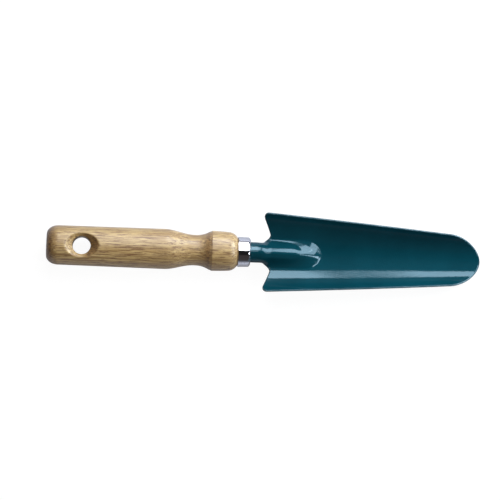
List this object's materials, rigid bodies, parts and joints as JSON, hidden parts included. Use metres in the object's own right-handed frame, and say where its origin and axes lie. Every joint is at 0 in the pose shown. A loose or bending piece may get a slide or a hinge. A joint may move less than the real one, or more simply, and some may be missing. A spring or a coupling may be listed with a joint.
{
  "type": "hand trowel",
  "caption": "Hand trowel with a dished, ribbed steel blade on a rolled neck, set by a plated ferrule into a turned wooden handle with a hang hole.",
  "frame": {"origin": "centre of the flat butt end of the handle, on the handle's axis", "axes": "+X along the handle's axis to the blade's tip, +Z out of the hollow side of the blade, +Y to the left of someone holding the handle and looking along +X"},
  "size_m": [0.313, 0.0568, 0.0286],
  "materials": {
    "lacquered_wood": "satin",
    "bright_plating": "polished",
    "teal_coating": "gloss"
  },
  "bodies": {
    "root": {"handle": "lacquered_wood", "ferrule": "bright_plating", "head": "teal_coating"}
  },
  "joints": []
}
